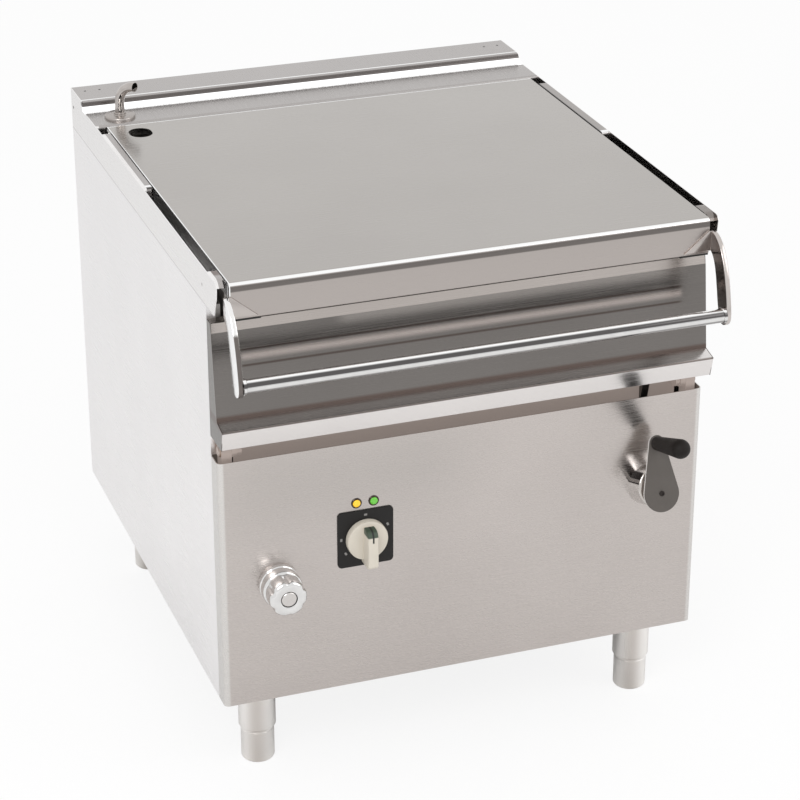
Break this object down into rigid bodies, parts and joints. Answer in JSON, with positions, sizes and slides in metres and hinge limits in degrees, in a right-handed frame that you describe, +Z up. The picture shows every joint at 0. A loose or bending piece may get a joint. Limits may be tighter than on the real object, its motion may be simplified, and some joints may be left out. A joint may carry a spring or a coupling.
{
  "type": "tilting bratt pan",
  "caption": "Free-standing tilting braising pan with a hinged lid, a bar handle, a hand crank with a worm drive, a selector, a water tap and spout, and adjustable feet",
  "frame": {"origin": "on the floor, at the centre of the overall box", "axes": "X to the right, Y to the back, Z up"},
  "size_m": [0.8, 1.0192, 0.938],
  "materials": {
    "satin_steel": "fine satin brushing, stainless sheet",
    "frame_steel": "square tube and plate, as drawn",
    "polished_steel": "turned, bright",
    "dark_steel": "machined, oiled",
    "chrome": "polished plating",
    "cast_metal": "as cast, painted grey",
    "bronze": "plain bearing metal",
    "copper": "drawn tube",
    "grey_paint": "satin powder coat",
    "black_plastic": "moulded, satin",
    "grey_box": "moulded housing",
    "ivory_plastic": "moulded, semi gloss",
    "amber_lens": "clear coloured lens",
    "green_lens": "clear coloured lens",
    "mineral_wool": "loose fibre board"
  },
  "bodies": {
    "cabinet": {"base_frame": "frame_steel", "leg_sleeves": "satin_steel", "side_panel_left": "satin_steel", "side_panel_right": "satin_steel", "control_panel": "satin_steel", "rear_panel": "satin_steel", "bottom_panel": "satin_steel", "worktop": "satin_steel", "side_rails": "satin_steel", "bearing_blocks": "cast_metal", "bearing_bushes": "bronze", "gearbox": "cast_metal", "worm_bracket": "frame_steel", "crank_boss": "chrome", "dial_plate": "black_plastic", "thermostat": "black_plastic", "lamp_rims": "chrome", "lamp_amber": "amber_lens", "lamp_green": "green_lens", "tap_body": "chrome", "water_spout": "chrome", "spout_pipe": "copper", "inlet_pipe": "copper", "contactor_box": "grey_box", "cable_gland": "black_plastic", "limit_switch": "black_plastic", "panel_screws": "polished_steel"},
    "pan": {"pan_vessel": "satin_steel", "pan_jacket": "satin_steel", "pan_casing": "satin_steel", "pan_insulation": "mineral_wool", "heating_elements": "dark_steel", "pivot_plates": "frame_steel", "pivot_pins": "polished_steel", "tilt_sector": "dark_steel", "hinge_ears": "frame_steel"},
    "lid": {"lid_panel": "satin_steel", "hinge_pins": "polished_steel", "handle_arms": "satin_steel", "handle_bar": "chrome", "handle_screws": "polished_steel"},
    "worm": {"worm_shaft": "dark_steel"},
    "crank": {"crank_shaft": "polished_steel", "crank_lever": "grey_paint", "crank_screw": "dark_steel"},
    "grip": {"crank_grip": "black_plastic"},
    "selector": {"selector_knob": "ivory_plastic"},
    "tap_handle": {"tap_knob": "chrome"},
    "foot_fl": {"foot_front_left": "satin_steel"},
    "foot_fr": {"foot_front_right": "satin_steel"},
    "foot_rl": {"foot_rear_left": "satin_steel"},
    "foot_rr": {"foot_rear_right": "satin_steel"}
  },
  "joints": [
    {"name": "pan_tilt", "type": "hinge", "parent": "cabinet", "child": "pan", "pos_m": [0, -0.36241, 0.582], "axis": [1, 0, 0], "range_deg": [0, 70]},
    {"name": "lid_hinge", "type": "hinge", "parent": "pan", "child": "lid", "pos_m": [0, 0.29759, 0.862], "axis": [-1, 0, 0], "range_deg": [0, 80]},
    {"name": "worm_turn", "type": "hinge", "parent": "cabinet", "child": "worm", "pos_m": [0.311, -0.22641, 0.582], "axis": [0, 0, -1], "range_deg": [0, 4200]},
    {"name": "crank_turn", "type": "hinge", "parent": "cabinet", "child": "crank", "pos_m": [0.311, -0.38241, 0.405], "axis": [0, 0.9455, -0.3256], "range_deg": [0, 4200]},
    {"name": "grip_spin", "type": "hinge", "parent": "crank", "child": "grip", "pos_m": [0.311, -0.41088, 0.50047], "axis": [0, -0.9455, 0.3256], "continuous": true},
    {"name": "selector_turn", "type": "hinge", "parent": "cabinet", "child": "selector", "pos_m": [-0.167, -0.38241, 0.406], "axis": [0, 1, 0], "range_deg": [0, 270]},
    {"name": "tap_turn", "type": "hinge", "parent": "cabinet", "child": "tap_handle", "pos_m": [-0.308, -0.38241, 0.35], "axis": [0, -1, 0], "range_deg": [0, 540]},
    {"name": "foot_fl_screw", "type": "slide", "parent": "cabinet", "child": "foot_fl", "axis": [0, 0, -1], "range_m": [0, 0.04]},
    {"name": "foot_fr_screw", "type": "slide", "parent": "cabinet", "child": "foot_fr", "axis": [0, 0, -1], "range_m": [0, 0.04]},
    {"name": "foot_rl_screw", "type": "slide", "parent": "cabinet", "child": "foot_rl", "axis": [0, 0, -1], "range_m": [0, 0.04]},
    {"name": "foot_rr_screw", "type": "slide", "parent": "cabinet", "child": "foot_rr", "axis": [0, 0, -1], "range_m": [0, 0.04]}
  ],
  "couplings": [
    {"joint": "worm_turn", "follows": "pan_tilt", "ratio": 60},
    {"joint": "crank_turn", "follows": "pan_tilt", "ratio": 60}
  ]
}
